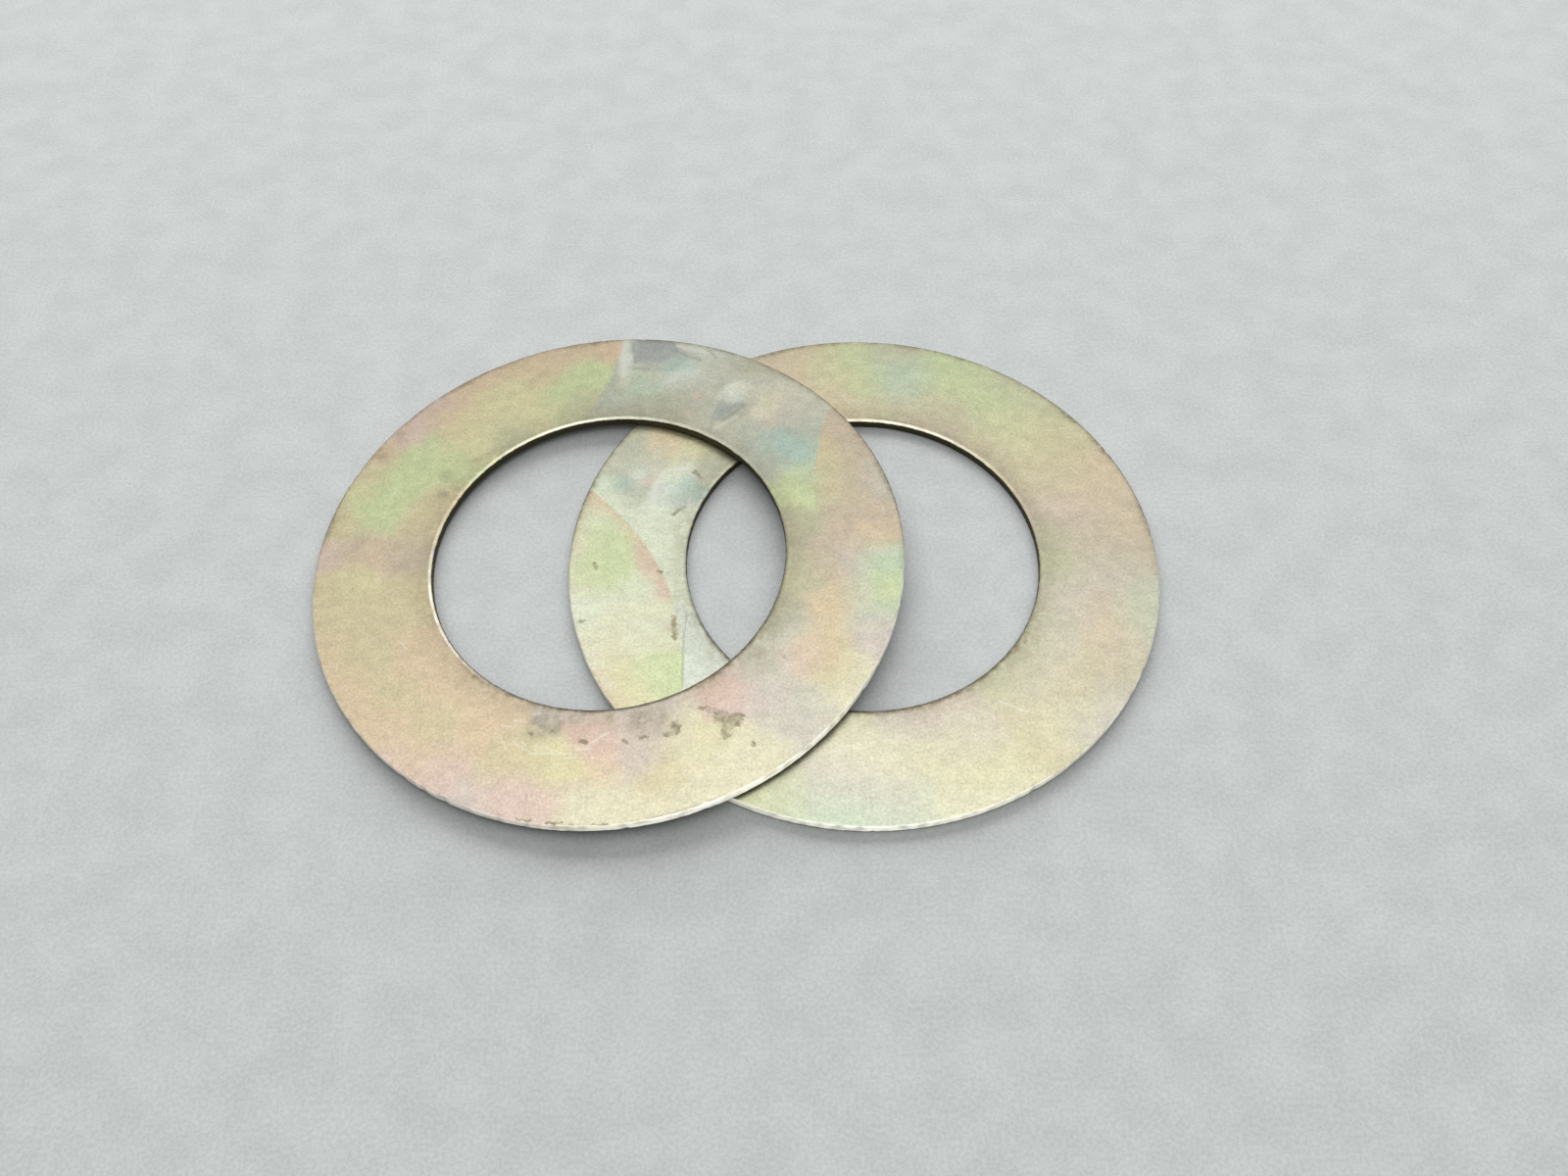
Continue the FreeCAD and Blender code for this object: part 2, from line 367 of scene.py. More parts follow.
# %% Place the tints of the lower washer's thinner film
LOWER_CLEAR = {
    "peach": [(-18, 12.8, 0.7), (-16.6, 12, 0.7), (-7, 21.6), (-5.6, 23.4), (-1.8, 17.8), (20.8, 8.6),
              (22.6, 9), (23.2, 3), (20.8, 6.6), (19.4, -7), (20.6, -7.4)],
    "rose": [(-18.7, 8.4, 0.5), (17.4, 5.6), (18.2, 4), (5.6, -15.6), (22, -9.4)],
    "blush": [(17.4, -3.6), (16.6, -7), (1.6, -22.4), (-2, -21.8), (3.4, -16.6), (8.4, -16.6), (13, -12.6),
              (18.2, -17), (15, -9.6), (21.4, -2.6), (-3.8, -20.6)],
    "sand": [(20.2, 1), (22.6, -0.6), (18.6, 0.8), (9, 15.8), (6.4, 16), (21.2, -9.6), (20, -12.6), (19, 3),
             (-8.2, 22.8), (24.2, -0.4), (15.6, 4.2), (23.8, 5), (19.6, -4.6), (5, 24.4), (12, 11)],
    "amber": [(17.6, 12.6), (19.4, 11.4), (18.4, 8.4), (17.8, -10), (15.8, -14.4), (12.4, -17.6),
              (16.2, 8.4), (-3.4, 22.4), (20.4, 13), (14.4, -12.4), (11.6, -15.2), (2.8, 16.8), (7, -19.2),
              (13.8, -19.4)],
    "straw": [(15.2, 15), (12.6, 13), (14.2, 12), (-1.2, 21), (7, 17.2), (18.8, 14), (4.4, -19.4),
              (9.4, -20.6), (-15.2, 12)],
    "lime": [(0.4, 22.4), (8.6, 20.6), (10.6, 19.4), (12.6, 17.8), (7.6, 22), (10, 17.4), (0, 20),
             (13.6, 15.6)],
    "fern": [(13, -10.2), (11, -12.4), (-6.8, -22.4), (14.6, -7), (16, 0.4), (16.2, -1.6), (2.4, 24.4),
             (15.8, 18.2), (22.6, -11.4), (23.6, -5.6), (13.4, 20.4), (19, 16.4)],
    "mint": [(3.6, 21.4), (5.2, 20.2), (4.8, 18.8), (23.9, -4.4), (-1.4, -23.8), (-4.4, -23.2), (23.2, -8),
             (2.4, -24)],
    "cream": [(1.4, -19.6), (-2.4, -18.4), (5.8, -22.4), (11, -22), (9, -22.8), (14.6, -16.4),
              (7.4, -17.8)],
    "teal": [(-15.1, 7.6, 0.9), (-21.3, 8.2, 0.7)],
    "milk": [(-16.8, 4.6, 0.9), (-17.4, 2.8, 0.8), (-16.2, 1.2, 0.8), (-15.6, -1, 0.8), (-15.3, -3.2, 0.7),
             (-18.8, 4.4, 0.7), (-16.6, 9.6, 0.8), (-21.6, 5.8, 0.8), (-22.8, 8.4, 0.7)],
    "ice": [(-17.1, 7.6, 0.8), (-16.2, 6.8, 0.8), (-17.4, 5.8, 0.8), (-13.8, -7, 0.8), (-13.3, -9),
            (-14, -11.6), (-19.8, 9.8, 0.8), (-15, 9.8, 0.7)],
    "pearl": [(-20.6, 11.6, 0.8), (-22, 10.6, 0.8), (-18, 10.4, 0.8), (17.4, -16.2), (20.4, -14.4),
              (-15.4, 10.8, 0.7), (5.4, -17.8), (-13.8, 8.4, 0.5), (22.6, -5.6)],
    "grey": [(-20.2, 7, 0.8), (-13, 9.9, 0.6), (-20, 12.8, 0.6)],
    "olive": [(-12.8, 11, 0.5), (-13.4, 9.8, 0.5), (15.4, 2), (-22, 12)],
}
print("places in the lower thin film:", sum(len(spots) for spots in LOWER_CLEAR.values()))

# %% [markdown]
# ## The outline that another washer left
# The curve needs a sharp border, much sharper than the mesh is fine. A distance changes evenly from point to
# point, so a distance can be kept on the points and cut to a hard border later, in the material. Positive is
# on the clear side. Away from the patch the border fades out, and a second number says how far.

# %% Measure the distance to each border
UPPER_OUTLINES = ((-24.8, 28.0), (42.6, 6.5))  # the middles of the two washers that stuck to it
LOWER_OUTLINE = (-40.2, -11.7)
SEEPED = 0.3  # how far the clear side crept past the outline


def past_outline(points, middle):
    """How far outside the rim of a washer with this middle each point lies."""
    return np.hypot(points[:, 0] - middle[0], points[:, 1] - middle[1]) - RIM


def upper_border(points):
    """The clear patch lies between two outlines. The one at the upper left gets softer towards the bore."""
    first, second = (past_outline(points, middle) for middle in UPPER_OUTLINES)
    first = first / (1 + np.clip(23 - points[:, 1], 0, 9) / 2)
    fade_from = np.where(points[:, 0] < 0, 9.0, 1.0)
    return np.minimum(first, second), np.clip((points[:, 1] - fade_from) / 4, 0, 1)


def lower_border(points):
    """The film is whole inside one outline on the left and thinned everywhere else."""
    return past_outline(points, LOWER_OUTLINE) - SEEPED, np.ones(len(points))


print("the outlines have a radius of", round(RIM, 1), "mm")

# %% [markdown]
# ## Grime, painted edge shade and dents
# Handling leaves a few soft smudges, and a brown haze darkens the face round the bore. Painted shade darkens
# the rolled edges that slope away from the front: a thin dark line along the far rim and another in the
# roll-over at the near side of the bore. All of it is a number on each point as well, 0 where the washer is
# clean and unshaded. Each washer also has one shallow dent.

# %% Place the grime, the painted edge shade and the dents
UPPER_SMUDGES = [
    # x, y, how wide, how strong
    (-15.2, 6.8, 0.7, 0.7), (-15.3, 3.4, 0.7, 0.4), (-14.8, 9.0, 0.7, 0.5), (-12.6, 10.5, 0.8, 0.5),
    (-15.4, -1.0, 0.8, 0.4), (-14.2, -7.0, 0.7, 0.4), (-10.8, -11.6, 1.0, 0.4), (-4.4, -15.9, 1.3, 0.75),
    (-3.2, -16.2, 0.9, 0.8), (-1.6, -15.8, 0.8, 0.6), (1.0, -15.8, 1.0, 0.6), (3.4, -16.0, 1.2, 0.7),
    (5.0, -16.0, 1.1, 0.6), (-20.2, 14.0, 0.7, 0.5), (-21.3, 11.5, 0.6, 0.5), (12.4, -10.4, 1.6, 0.5),
]
LOWER_SMUDGES = [
    (-15.8, -7.0, 0.7, 0.4), (-15.7, 5.2, 0.5, 0.4), (15.4, 2.0, 0.9, 0.4), (14.9, -3.9, 0.8, 0.4),
    (11.2, -10.8, 0.9, 0.4), (5.4, -14.9, 0.9, 0.4),
]
UPPER_DENTS = [(10.5, 16.7, 1.9, 2.7, -18, 0.10)]
LOWER_DENTS = [(-15.7, 7.4, 1.8, 2.6, -15, 0.05)]


def band(from_line, wide, strong):
    """A darkening that is strongest on a line and fades away from it."""
    return strong * np.exp(-(from_line / wide) ** 2)


def haze_smudges_and_edge_shade(points, smudges):
    """How dark each point is painted: a haze round the bore, painted shade in the rolls at the near bore and
    the far rim, and the smudges.
    """
    radius = np.hypot(points[:, 0], points[:, 1])
    far = points[:, 1] / radius
    dirt_and_shade = band(radius - BORE, 1.6, 0.42)
    # Painted shade in the roll-over at the near side of the bore, which slopes away from the front.
    near_bore_shade = band(radius - BORE - 0.2, 0.4, 0.95) * np.clip(-far * 1.6, 0, 1)
    # Painted shade along the far rim, where the rolled edge slopes away from the front.
    far_rim_shade = band(RIM - radius, 0.34, 0.9) * np.clip(far * 3 + 0.5, 0, 1)
    dirt_and_shade = np.maximum(dirt_and_shade, np.maximum(near_bore_shade, far_rim_shade))
    for x, y, wide, strong in smudges:
        dirt_and_shade = np.maximum(dirt_and_shade, band(np.hypot(points[:, 0] - x, points[:, 1] - y), wide, strong))
    return dirt_and_shade


print(len(UPPER_SMUDGES) + len(LOWER_SMUDGES), "smudges")

# %% [markdown]
# ## Pale and dark edges, with painted highlight and shade
# The sheared metal is pale where the film has rubbed off, and a painted highlight is laid on it as well: the
# near rim and given sides of the bore's edge are painted white, and the far rim only faintly. The torn wall
# is painted dark, partly for the rough torn steel and partly as painted shade on the bore wall and at the
# foot of the rim. Both are numbers on the points too, because they follow the even wall as it was before it
# was roughed up, and the material sees only the rough one.

# %% Find the pale, highlit edges and the dark, shaded walls
RIM_TORN_TO = 0.06
BORE_TORN_TO = SHEET - 0.07
HIGHLIGHT_SPREAD = 30  # degrees


def closeness_to_side(turn, side):
    """How near each direction is to one side, in degrees: 1 towards it and 0 well away."""
    return np.exp(-(((turn - side + 180) % 360 - 180) / HIGHLIGHT_SPREAD) ** 2)


def bare_edge_and_highlight(even, rim_highlight_side, bore_highlight_sides, seed):
    """How white the sheared metal is painted, partly as bare metal and partly as painted highlight. The rim
    gets the least on its far side.
    """
    radius = np.hypot(even[:, 0], even[:, 1])
    turn = np.degrees(np.arctan2(even[:, 1], even[:, 0]))
    # Painted highlight: the rim is brightest towards the given side and faintest on its far side.
    rim_highlight = 0.6 + 0.4 * closeness_to_side(turn, rim_highlight_side)
    rim_highlight *= 1 - 0.85 * np.clip(even[:, 1] / radius * 3 + 0.5, 0, 1)
    # Painted highlight on the edge of the bore at the given sides.
    bore_highlight = sum(closeness_to_side(turn, side) for side in bore_highlight_sides) * 0.55
    rim = (radius > RIM - RIM_ROLL[0] + 0.06) & (even[:, 2] > RIM_TORN_TO)
    bore = (radius < BORE + BORE_ROLL[0] - 0.12) & (even[:, 2] > BORE_TORN_TO + 0.01)
    patchy = np.clip(0.9 + noise_at(even, 0.8, seed) * 0.6, 0, 1)
    return (rim * rim_highlight + bore * bore_highlight) * patchy


def torn_and_shaded_wall(even, seed):
    """Where the wall is painted dark, partly for the torn steel and partly as painted shade on the bore wall
    and at the foot of the rim.
    """
    radius = np.hypot(even[:, 0], even[:, 1])
    ragged = even[:, 2] + noise_at(even * (1, 1, 0), 0.6, seed) * 0.08
    limit = np.where(radius > MIDDLE, RIM_TORN_TO, BORE_TORN_TO)
    return ((ragged < limit) & (even[:, 2] > HAIR) & (even[:, 2] < BORE_TORN_TO + 0.01)) * 1.0


print(f"the rim is torn up to {RIM_TORN_TO:.2f} mm and the bore up to {BORE_TORN_TO:.2f} mm")

# %% [markdown]
# ## Making the two meshes
# The mesh keeps the washer's own measures, and the object's matrix stands it in place. That way every pattern
# in the material can be given in the washer's own millimetres, and moves with it. The places of the tints
# are moved about by noise first, so that the clouds aren't round.

# %% Build the washers
FILM_SOFT = 1.15


def give(mesh, name, values):
    """Keep a number, or a colour, on every point of a mesh."""
    if values.ndim == 2:
        attribute = mesh.attributes.new(name, "FLOAT_COLOR", "POINT")
        attribute.data.foreach_set("color", np.column_stack([values, np.ones(len(values))]).ravel())
    else:
        attribute = mesh.attributes.new(name, "FLOAT", "POINT")
        attribute.data.foreach_set("value", values)


def drift_of(points, seed):
    """How far noise moves each point over the washer, in large slow clouds and small quick ones."""
    slow = [noise_at(points, 3.0, seed), noise_at(points, 3.0, seed + 1)]
    quick = [noise_at(points, 0.9, seed + 2), noise_at(points, 0.9, seed + 3)]
    return np.column_stack(slow) * 0.9 + np.column_stack(quick) * 0.3


def build_washer(name, seed, film, clear, clear_soft, thinned, border, smudges, dents, rim_highlight_side, bore_highlight_sides):
    """One stamped washer with its roughed-up edges and everything that is painted on its points."""
    even, points = spin(seed, dents)
    mesh = bpy.data.meshes.new(name)
    mesh.from_pydata((points * MM).tolist(), [], quads.tolist())
    drift = drift_of(points, seed + 5)
    moved = points[:, :2] + drift
    distance, reach = border(points)
    give(mesh, "film", paint(film, moved, FILM_SOFT, thinned))
    give(mesh, "clear", paint(clear, moved, clear_soft, thinned))
    give(mesh, "border", distance)
    give(mesh, "reach", reach)
    give(mesh, "grime_and_shade", haze_smudges_and_edge_shade(points[:, :2] + drift * 0.4, smudges))
    give(mesh, "bare_and_highlight", bare_edge_and_highlight(even, rim_highlight_side, bore_highlight_sides, seed + 9))
    give(mesh, "torn_and_shaded", torn_and_shaded_wall(even, seed + 10))
    mesh.shade_smooth()
    mesh.set_sharp_from_angle(angle=math.radians(38))
    washer = bpy.data.objects.new(name, mesh)
    bpy.context.scene.collection.objects.link(washer)
    washer.matrix_world = places[name]
    upward = sum(face.normal.z for face in mesh.polygons if face.center.z > SHEET * 0.9 * MM)
    print(name, "has", len(mesh.polygons), "faces; the top faces", "up" if upward > 0 else "down")
    return washer


upper = build_washer(
    "upper_washer", seed=3, film=UPPER_FILM, clear=UPPER_CLEAR, clear_soft=1.0, thinned=0.0,
    border=upper_border, smudges=UPPER_SMUDGES, dents=UPPER_DENTS, rim_highlight_side=-65, bore_highlight_sides=(108, 200))
lower = build_washer(
    "lower_washer", seed=41, film=LOWER_FILM, clear=LOWER_CLEAR, clear_soft=1.6, thinned=0.14,
    border=lower_border, smudges=LOWER_SMUDGES, dents=LOWER_DENTS, rim_highlight_side=-88, bore_highlight_sides=(76,))

# %% [markdown]
# ## A small tool for wiring
# A material is a graph of nodes. Writing each one out takes several lines, so this class adds a node, feeds
# its inputs and hands back its output. A number or a colour is set on the input, and an output is linked.

# %% Make the wiring tool
class Wiring:
    """Adds nodes to one tree and links them."""

    def __init__(self, tree):
        self.tree = tree

    def add(self, kind, out=0, inputs=None, **settings):
        """One node with its settings, its inputs by name or number, and the wanted output."""
        node = self.tree.nodes.new(kind)
        for key, value in settings.items():
            setattr(node, key, value)
        for key, value in (inputs or {}).items():
            self.feed(node.inputs[key], value)
        return node.outputs[out]

    def feed(self, socket, value):
        """Link an output to a socket, or set a plain value on it."""
        if isinstance(value, bpy.types.NodeSocket):
            self.tree.links.new(value, socket)
        else:
            socket.default_value = value

    def math(self, operation, *values, clamp=False):
        """Arithmetic on numbers."""
        return self.add("ShaderNodeMath", inputs=dict(enumerate(values)), operation=operation,
                        use_clamp=clamp)

    def vector(self, operation, *values, out=0):
        """Arithmetic on vectors."""
        return self.add("ShaderNodeVectorMath", out=out, inputs=dict(enumerate(values)), operation=operation)

    def scale(self, vector, amount):
        """A vector made longer, or a colour made brighter, by an amount."""
        return self.add("ShaderNodeVectorMath", inputs={0: vector, "Scale": amount}, operation="SCALE")

    def step(self, value, low, high, to_low=0.0, to_high=1.0):
        """Ease a value from to_low to to_high as it goes from low to high."""
        return self.add("ShaderNodeMapRange", inputs={0: value, 1: low, 2: high, 3: to_low, 4: to_high},
                        interpolation_type="SMOOTHSTEP")

    def blend(self, amount, first, second):
        """The first colour, with an amount of the second laid over it."""
        return self.add("ShaderNodeMix", out=2, inputs={0: amount, 6: first, 7: second}, data_type="RGBA")

    def noise(self, where, scale, detail=2.0, rough=0.5):
        """Smooth noise, about 0 to 1."""
        return self.add("ShaderNodeTexNoise", inputs={
            "Vector": where, "Scale": scale, "Detail": detail, "Roughness": rough})

    def kept(self, name, out="Fac"):
        """A value that was kept on the mesh points."""
        return self.add("ShaderNodeAttribute", out=out, attribute_name=name)


print("wiring tool ready")

# %% [markdown]
# ## Scratches and marks
# A scratch is a short straight line, far finer than the mesh, so its distance is worked out in the material.
# The group takes two ends and a width in millimetres and gives 1 on the line and 0 beside it. The same group
# draws pale scratches, dark creases and, with wide lines, spots of dirt. It also draws the painted highlight
# and painted shade along the two dents. A painted image would do the same, but it would need unwrapping and
# would blur when seen close up.

# %% Make the scratch group
def scratch_group():
    """A node group that gives how far inside a thin line a place is."""
    tree = bpy.data.node_groups.new("scratch", "ShaderNodeTree")
    for name, kind in (("Place", "NodeSocketVector"), ("Start", "NodeSocketVector"),
                       ("End", "NodeSocketVector"), ("Width", "NodeSocketFloat")):
        tree.interface.new_socket(name, in_out="INPUT", socket_type=kind)
    tree.interface.new_socket("Line", in_out="OUTPUT", socket_type="NodeSocketFloat")
    wires = Wiring(tree)
    given = tree.nodes.new("NodeGroupInput").outputs
    result = tree.nodes.new("NodeGroupOutput").inputs
    from_start = wires.vector("SUBTRACT", given["Place"], given["Start"])
    along = wires.vector("SUBTRACT", given["End"], given["Start"])
    length = wires.vector("LENGTH", along, out="Value")
    dot = wires.vector("DOT_PRODUCT", from_start, along, out="Value")
    share = wires.math("DIVIDE", dot, wires.math("MULTIPLY", length, length), clamp=True)
    nearest = wires.scale(along, share)
    away = wires.vector("LENGTH", wires.vector("SUBTRACT", from_start, nearest), out="Value")
    taper = wires.math("MULTIPLY", given["Width"], wires.step(share, 0.9, 1.0, 1.0, 0.4))
    wires.feed(result["Line"], wires.math("SUBTRACT", 1.0, wires.math("DIVIDE", away, taper), clamp=True))
    return tree


SCRATCH = scratch_group()
print("the scratch group has", len(SCRATCH.nodes), "nodes")

# %% [markdown]
# ## Where the marks lie
# Every mark is a start, an end and a half width, on the washer and in millimetres. Most of the scratches and
# most of the dirt lie on the upper washer, just in front of its bore. A few lines at each dent are painted
# highlight and painted shade instead.

# %% Place the marks on the upper washer
UPPER_SCRATCHES_AND_HIGHLIGHTS = [
    ((-5.6, -18.3), (-5.0, -18.6), 0.11), ((-4.9, -18.7), (-2.8, -18.8), 0.10),
    ((-1.4, -18.5), (-0.2, -18.4), 0.12), ((-6.5, -15.8), (-5.6, -15.7), 0.10),
    ((-5.7, -17.6), (-5.3, -18.1), 0.09), ((-4.7, -18.0), (-3.3, -18.4), 0.10),
    ((-2.7, -18.8), (-1.7, -18.9), 0.12), ((-2.3, -19.2), (-1.2, -19.1), 0.12),
    ((-0.3, -17.9), (1.1, -17.0), 0.14), ((-7.5, -16.2), (-6.4, -16.4), 0.10),
    ((-5.2, -15.3), (-4.4, -15.2), 0.10), ((-6.4, -17.6), (-6.0, -18.0), 0.12),
    ((-7.4, -17.3), (-6.9, -18.2), 0.09), ((-3.6, -18.2), (-3.3, -18.7), 0.09),
    # The marks from (9.6, 18.2) to (11.6, 19.2) and from (8.9, 13.6) to (10.9, 14.9) are painted highlight
    # along the upper dent.
    ((9.6, 18.2), (10.6, 18.9), 0.10), ((10.6, 18.9), (11.6, 19.2), 0.10), ((5.2, 23.9), (6.9, 23.0), 0.42),
    ((6.2, 23.6), (7.8, 22.9), 0.40), ((0.1, 24.4), (0.1, 20.2), 0.62), ((8.9, 13.6), (10.9, 14.9), 0.35),
    ((-16.3, 14.8), (-15.8, 14.8), 0.14), ((-19.7, 6.7), (-19.0, 8.1), 0.10),
    ((-16.6, -8.2), (-15.9, -9.0), 0.10), ((9.5, -19.6), (10.1, -19.1), 0.10),
    ((-11.3, 18.0), (-10.6, 18.5), 0.08),
]
UPPER_CREASES_AND_SHADE = [
    ((4.6, 24.2), (5.0, 23.3), 0.14), ((5.0, 23.3), (6.0, 22.5), 0.16), ((6.0, 22.5), (7.5, 21.8), 0.24),
    # The marks from (8.4, 13.4) to (9.6, 17.3) and from (9.4, 14.4) to (11.4, 16.2) are painted shade along
    # the upper dent and in its crescent.
    ((8.2, 23.0), (8.8, 22.1), 0.30), ((8.4, 13.4), (8.5, 14.6), 0.12), ((8.5, 14.6), (8.9, 16.0), 0.12),
    ((8.9, 16.0), (9.6, 17.3), 0.12), ((3.3, -19.0), (4.3, -19.7), 0.09), ((1.1, 21.2), (2.6, 21.0), 0.28),
    ((0.8, 24.4), (1.2, 21.6), 0.20), ((-4.9, -22.2), (-4.9, -22.8), 0.12),
    ((9.4, 14.4), (11.4, 16.2), 0.26),
]
UPPER_DIRT = [
    ((8.9, -15.3), (9.8, -15.9), 0.42), ((9.6, -15.9), (10.6, -16.3), 0.80),
    ((10.4, -16.2), (11.5, -15.9), 0.60), ((10.3, -16.5), (10.1, -17.9), 0.62),
    ((10.8, -16.4), (11.2, -16.8), 0.45), ((5.5, -17.4), (6.5, -17.2), 0.34),
    ((6.1, -16.6), (6.5, -17.0), 0.58), ((-1.1, -17.8), (-0.6, -17.9), 0.34),
    ((-3.4, -16.9), (-3.1, -17.1), 0.40), ((12.3, -18.4), (12.3, -18.7), 0.18),
    ((3.5, -17.6), (4.1, -17.5), 0.24), ((14.7, -10.6), (14.8, -10.8), 0.22),
    ((2.2, -17.8), (2.6, -18.1), 0.20), ((-5.3, -16.9), (-4.9, -17.0), 0.28),
    ((8.0, -15.1), (8.9, -15.2), 0.26), ((-5.4, -24.2), (-4.4, -24.4), 0.20),
    ((-3.2, -24.6), (-2.0, -24.6), 0.18), ((0.2, -24.8), (1.6, -24.8), 0.14),
]
print("marks on the upper washer:", len(UPPER_SCRATCHES_AND_HIGHLIGHTS) + len(UPPER_CREASES_AND_SHADE) + len(UPPER_DIRT))

# %% [markdown]
# ## The lower washer's marks
# The lower washer has fewer, and nearly all of the ones that show are in the crescent on the left. The rest
# are left to the general grain.

# %% Place the marks on the lower washer
LOWER_SCRATCHES_AND_HIGHLIGHTS = [
    # The three marks from (-18.0, 5.4) to (-15.1, 9.8) are painted highlight along the rim of the lower dent.
    ((10.2, -14.3), (12.5, -15.4), 0.13), ((-18.0, 5.4), (-18.0, 8.0), 0.35),
    ((-18.0, 8.0), (-17.0, 9.7), 0.35), ((-17.0, 9.7), (-15.1, 9.8), 0.30),
    ((-15.3, -4.0), (-15.2, -6.6), 0.16), ((-15.0, 5.0), (-14.9, 6.4), 0.30),
]
LOWER_DARK = [
    ((-15.0, -7.4), (-15.0, -12.7), 0.16), ((-16.4, 4.6), (-15.2, 5.6), 0.26),
    ((-14.8, -5.4), (-14.9, -7.4), 0.10),
]
LOWER_DIRT_AND_SHADE = [
    # The first mark is painted shade in the crescent of the lower dent.
    ((-14.5, 9.3), (-13.8, 8.6), 0.38), ((-17.3, -1.3), (-17.0, -1.5), 0.28),
    ((-22.8, -0.4), (-22.6, -1.2), 0.22), ((-23.6, -6.3), (-23.2, -6.2), 0.22),
    ((-15.9, -6.0), (-15.7, -8.2), 0.36), ((-16.2, 4.7), (-15.8, 5.1), 0.20),
]
print("marks on the lower washer:", len(LOWER_SCRATCHES_AND_HIGHLIGHTS) + len(LOWER_DARK) + len(LOWER_DIRT_AND_SHADE))

# %% [markdown]
# ## The colour of the film
# The two painted tints are cut apart at the border here, where the material can be as sharp as it likes, and
# a little noise keeps the border from looking drawn. Broad clouds and a fine grain then change how bright
# the film is by a tenth or so, because stamped sheet is never an even mirror.

# %% Colour the film
def film_colour(wires, flat):
    """The painted tints, cut sharp at the border, with faint clouds and a satin grain."""
    wobble = wires.math("MULTIPLY_ADD", wires.noise(flat, 2.2, 3.0), 0.3, -0.15)
    inside = wires.step(wires.math("ADD", wires.kept("border"), wobble), -0.10, 0.12)
    inside = wires.math("MULTIPLY", inside, wires.kept("reach"))
    tint = wires.blend(inside, wires.kept("film", "Color"), wires.kept("clear", "Color"))
    cloud = wires.step(wires.noise(flat, 0.9, 4.0, 0.6), 0.35, 0.65, 0.95, 1.05)
    grain = wires.step(wires.noise(flat, 4.5, 4.0, 0.7), 0.3, 0.7, 0.86, 1.14)
    return wires.scale(tint, wires.math("MULTIPLY", cloud, grain))


print("film ready")

# %% [markdown]
# ## Tumbling hairs
# Washers that turn against each other in the barrel leave short arcs round the bore, much finer than any
# scratch. They come from noise that is stretched round the ring: the angle and the radius are used as if
# they were flat measures, and the angle counts for less.

# %% Make the tumbling hairs
def tumbling_hairs(wires, flat):
    """Fine arcs round the bore, only in the patches that were rubbed."""
    radius = wires.vector("LENGTH", flat, out="Value")
    split = wires.add("ShaderNodeSeparateXYZ", inputs={0: flat})
    angle = wires.math("ARCTAN2", split.node.outputs[1], split)
    unrolled = wires.add("ShaderNodeCombineXYZ", inputs={
        0: wires.math("MULTIPLY", angle, 9.0), 1: wires.math("MULTIPLY", radius, 4.5)})
    hairs = wires.step(wires.noise(unrolled, 1.6, 3.0, 0.6), 0.63, 0.74)
    rubbed = wires.step(wires.noise(flat, 0.22, 2.0), 0.42, 0.62)
    return wires.math("MULTIPLY", hairs, wires.math("MULTIPLY", rubbed, 0.5))


print("hairs ready")

# %% [markdown]
# ## Laying the marks on
# A drawn line is too straight for a real scratch and much too clean for dirt. So the place that is asked for
# is first moved about by noise, a little for scratches and more for dirt. Dirt and the painted shade in the
# lower dent are also broken up into flecks, together with the grime and the painted edge shade kept on the
# points.

# %% Lay on scratches, dirt and the painted shade and highlights
PALE_MARK = (*screen(212, 211, 200), 1)
DARK_MARK = (*screen(138, 142, 132), 1)
# The colour of the grime, also used for the painted shade on the edges and in the lower dent.
GRIME_AND_SHADE = (*screen(132, 124, 102), 1)
SCRATCH_STRAY = 0.21
DIRT_STRAY = 0.7


def strayed(wires, flat, amount):
    """Places that are moved about a little, in millimetres."""
    blur = wires.noise(flat, 3.5, 3.0, 0.6).node.outputs["Color"]
    around_zero = wires.vector("SUBTRACT", blur, (0.5, 0.5, 0.5))
    return wires.vector("ADD", flat, wires.vector("MULTIPLY", around_zero, (amount, amount, 0)))


def lines(wires, place, ends):
    """The strongest of several marks at this place."""
    total = None
    for start, end, width in ends:
        line = wires.add("ShaderNodeGroup", node_tree=SCRATCH, inputs={
            "Place": place, "Start": (*start, 0), "End": (*end, 0), "Width": width})
        total = line if total is None else wires.math("MAXIMUM", total, line)
    return total


def scratches_and_dent_light(wires, flat, tint, light_lines, dark_lines):
    """The tint with the dark creases and the painted dent shade, and then the pale scratches and painted dent
    highlights over it.
    """
    place = strayed(wires, flat, SCRATCH_STRAY)
    dark = wires.math("MULTIPLY", lines(wires, place, dark_lines), 0.5)
    pale = wires.math("MULTIPLY", lines(wires, place, light_lines), 0.66)
    return wires.blend(pale, wires.blend(dark, tint, DARK_MARK), PALE_MARK)


def soiled_and_shaded(wires, flat, tint, dirt_and_shade_lines):
    """The tint with the painted grime, the painted edge shade, the spots of dirt and the painted shade in the
    lower dent over it, all in flecks.
    """
    spots = wires.step(lines(wires, strayed(wires, flat, DIRT_STRAY), dirt_and_shade_lines), 0.0, 0.7)
    flecks = wires.step(wires.noise(flat, 1.6, 4.0, 0.6), 0.3, 0.62, 0.35, 1.0)
    # The grime kept on the points includes the painted edge shade.
    dirt_and_shade = wires.math("MAXIMUM", wires.kept("grime_and_shade"), wires.math("MULTIPLY", spots, 0.9))
    return wires.blend(wires.math("MULTIPLY", dirt_and_shade, flecks, clamp=True), tint, GRIME_AND_SHADE)


print("marks stray by up to", DIRT_STRAY / 2, "mm")

